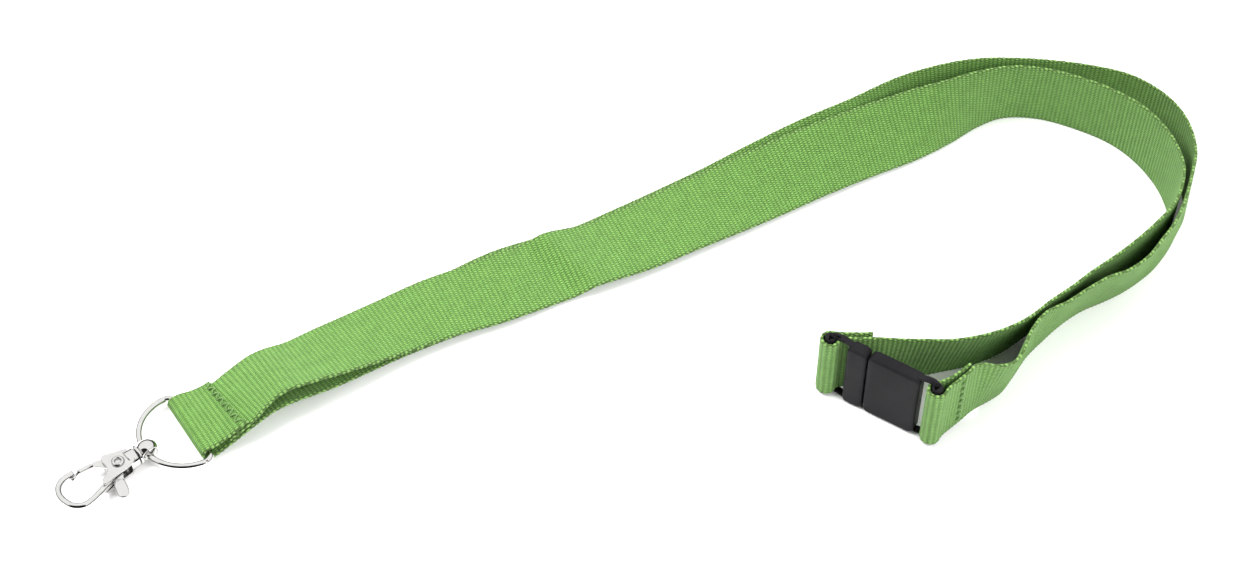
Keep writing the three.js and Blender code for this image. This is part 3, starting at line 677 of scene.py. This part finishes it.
def hookBody():
    cheekOutline = softened([
        (neckFrom + 0.4, 2.3), (rivetX - 1.6, 3.1), (rivetX + 1.4, 4.3), (rivetX + 2.4, 4.2),
        (rivetX + 3, 3), (rivetX + 2.9, 0.6), (rivetX + 3.8, -1.1), (rivetX + 6.4, -2.3),
        (rivetX + 6.4, -4.1), (rivetX + 2, -3.2), (neckFrom + 0.4, -2.6)])
    bow = curveThrough([
        (rivetX + 2.6, -2), (rivetX + 7.7, -hook["bowSide"] + 0.8), (rivetX + 10.8, -hook["bowSide"]),
        (bowEnd - 2.8, -hook["bowSide"]), (bowEnd - 0.9, -hook["bowSide"] + 1.5),
        (bowEnd, -hook["bowSide"] + 4),
        (bowEnd, tipSide - 3.5), (bowEnd - 1.1, tipSide - 1.3), (bowEnd - 3.1, tipSide - 0.1),
        (tipX, tipSide)], 70)
    bm = bar(bow, hook["bowWire"] + 0.1, sides=7, flatten=1.15)
    for low, high in ((-cheekHalf, -hook["slot"] / 2), (hook["slot"] / 2, cheekHalf)):
        join(bm, plate(cheekOutline, low, high, 0.29, 6))
    join(bm, turned(disc(hook["neck"], neckFrom, headTo + 0.2, 0.25), steps=64))
    return pieceOf("hookBody", bm, plated, hookFrame)


def gateLever():
    low = web["gap"] - hook["slot"] / 2
    tip = tipX - rivetX
    lip = tipSide - hook["bowWire"] - web["gap"]
    thick = hook["gateThick"]
    middle = softened([(-1.7, 1.4), (-0.4, 2.3), (3.4, 4.6), (5, 4.8), (5, 3.2), (2.4, 0.6), (2.3, -1.6),
                       (3.4, -3.4), (3.7, -4.6), (1.5, -4.6), (0.2, -2.2), (-1.5, -1.4)])
    pad = softened([(1.2, -3.6), (3.9, -3.4), (5.4, -7.4), (5.3, -8.8), (4.4, -9.6), (3.2, -9.6),
                    (2.2, -8.4)])
    bm = plate(middle, low, low + hook["gatePlate"], 0.15)
    outer = tipSide + 0.25
    swing = math.hypot(tip, tipSide - hook["bowWire"]) - web["gap"]  # past the bow's free end
    nose = (math.sqrt(swing ** 2 - outer ** 2), outer - 0.7)
    join(bm, bar(curveThrough([(3.2, 3.7), (5.2, 4.6), nose], 14), 0.7, sides=6, flatten=1.1))
    join(bm, bar([(*nose, 0), (tip + 1.3, lip - 0.5, 0)], 0.4, sides=4))
    join(bm, plate(pad, -thick, thick, 0.45, 5))
    return pieceOf("gateLever", bm, plated, hookFrame @ Matrix.Translation((rivetX, 0, 0)))


def gateRivet():
    under, thick, head, bore = cheekHalf + web["gap"] - 0.25, 0.6, 1.7, 0.7
    half = [(0.9, under), (head, under), (head - 0.1, under + 0.3), (head - 0.45, under + thick),
            (bore + 0.25, under + thick), (bore, under + 0.2)]
    profile = [(r, -a) for r, a in half[::-1]] + half
    place = hookFrame @ Matrix.Translation((rivetX, 0, 0))
    return pieceOf("gateRivet", turned(profile, "Z", 48), plated, place)


eye, body, gate, rivet = swivelEye(), hookBody(), gateLever(), gateRivet()
frame["nodes"]["gate_spring"].data.materials.clear()
frame["nodes"]["gate_spring"].data.materials.append(springWire)
print("ring and hook made")


# Buckle
def roundedBox(x0, x1, z0, z1, r):
    corners = ((x1 - r, z0 + r, -90), (x1 - r, z1 - r, 0), (x0 + r, z1 - r, 90), (x0 + r, z0 + r, 180))
    return [p for x, z, start in corners for p in arc(x, z, r, np.linspace(start, start + 90, 7))]


upright = Matrix.Rotation(math.radians(90), 4, "X")  # drawn flat, then stood up


def shell(x0, x1):
    half = buckle["thick"] / 2
    return plate(roundedBox(x0, x1, 0, buckle["width"], buckle["corner"]), -half, half, buckle["edge"], 6)


def armsAndBar(shellEnd, barX):
    out = math.copysign(1, barX)
    forward = buckle["barForward"]
    arm = strip([(shellEnd - out * 1.2, 0), (shellEnd + out * 1.6, 0.5), (barX - out * 1.6, 0.5),
                 (barX - out * 0.4, 0), (barX, -forward)], 0.95, 16)
    thick = loopFoot - web["gap"]
    bm = turned(disc(buckle["barRadius"], 0, buckle["width"], 0.3), "Z", 32)
    bmesh.ops.translate(bm, verts=bm.verts, vec=(barX, -forward, 0))
    for z in (0, buckle["width"] - thick):
        join(bm, plate(arm, z, z + thick, 0.2, 3))
    return bm


prongs = dict(root=-2, tip=8.6, shoulder=8.2, half=1.7, tipHalf=1.3, thick=0.8, pitch=5.7)


def buckleHalf(name, x0, x1, barX, prongHeights):
    bm = shell(x0, x1)
    bm.transform(upright)
    join(bm, armsAndBar(x0 if barX < 0 else x1, barX))
    for z in prongHeights:
        side = [(prongs["root"], prongs["half"]), (prongs["shoulder"], prongs["half"]),
                (prongs["tip"], prongs["tipHalf"])]
        outline = [(x, z - h) for x, h in side] + [(x, z + h) for x, h in side[::-1]]
        prong = plate(outline, -prongs["thick"], prongs["thick"], 0.2, 2)
        prong.transform(upright)
        join(bm, prong)
    return pieceOf(name, bm, acetal, buckleFrame)


socket = buckleHalf("buckleSocket", 0.15, buckle["socket"], socketBar, ())
plug = buckleHalf("bucklePlug", -buckle["plug"], -0.15, plugBar,
                  [buckle["width"] / 2 + k * prongs["pitch"] for k in (-1, 0, 1)])
print("buckle made")


# Stitching: one thread in short arcs from hole to hole
def stitches(name, stations, run, side, pitch=2.4, swing=1.8, margin=1.2):
    edge, across, normal, s = courseOf(stations)
    i = int(np.argmin(np.abs(s - run)))
    along = np.cross(across[i], normal[i])
    turns = 2 * round((web["width"] - 2 * margin) / pitch)
    holes = [edge[i] + across[i] * (margin + (web["width"] - 2 * margin) * k / turns)
             + along * (k % 2 - 0.5) * swing for k in range(turns + 1)]
    rise = [-0.25, 0.12, 0.24, 0.28, 0.24, 0.12, -0.25]
    points = []
    for a, b in zip(holes, holes[1:]):
        for k, h in enumerate(rise[:-1]):
            points.append(Vector(a + (b - a) * k / 6 + normal[i] * side * (web["thick"] / 2 + h)))
    points.append(Vector(holes[-1] + normal[i] * side * (web["thick"] / 2 - 0.25)))
    return pieceOf(name, bar(points, 0.24, sides=3), thread)


ringStitch = stitches("ringStitch", tailStations, 1.2, -1)
socketStitch = stitches("socketStitch", rearStations, rearLength - 27.2, -1)
plugStitch = stitches("plugStitch", frontStations, frontLength - 1.8, -1)

# Floor
floorMesh = bmesh.new()
bmesh.ops.create_grid(floorMesh, x_segments=1, y_segments=1, size=6000)
floorPaint = Nodes("paleFloor")
speckle = floorPaint.noise(floorPaint.place(), 40, 3)
paint = floorPaint.ramp(speckle, (0.3, (0.93, 0.93, 0.93)), (0.7, (0.95, 0.95, 0.95)))
floorPaint.finish(paint, 0.6, Specular_IOR_Level=0.2)
floor = pieceOf("floor", floorMesh, floorPaint.material, Matrix.Translation((0, 0, -0.02)))

# What each piece moves with, and stands for
for piece, joined, slotName, nodes in (
        (rearStrap, "straps", "webbing", ["rear_strap"]),
        (ringStitch, "straps", "thread", ["ring_stitching"]),
        (socketStitch, "straps", "thread", ["socket_loop_stitching"]),
        (socket, "straps", "buckle", ["buckle_socket"]),
        (plug, "plug", "buckle", ["buckle_plug"]), (plugStitch, "plug", "thread", ["plug_loop_stitching"]),
        (dRing, "ring", "plated", ["d_ring"]), (eye, "swivel", "plated", ["swivel_eye"]),
        (body, "hook", "plated", ["hook_body"]), (rivet, "hook", "plated", ["gate_rivet"]),
        (gate, "gate", "plated", ["gate_lever"])):
    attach(piece, joined)
    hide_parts(*nodes)
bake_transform(frontStrap)
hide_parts("front_strap", "front_strap_buckle_end")

print("pieces joined to their bodies")
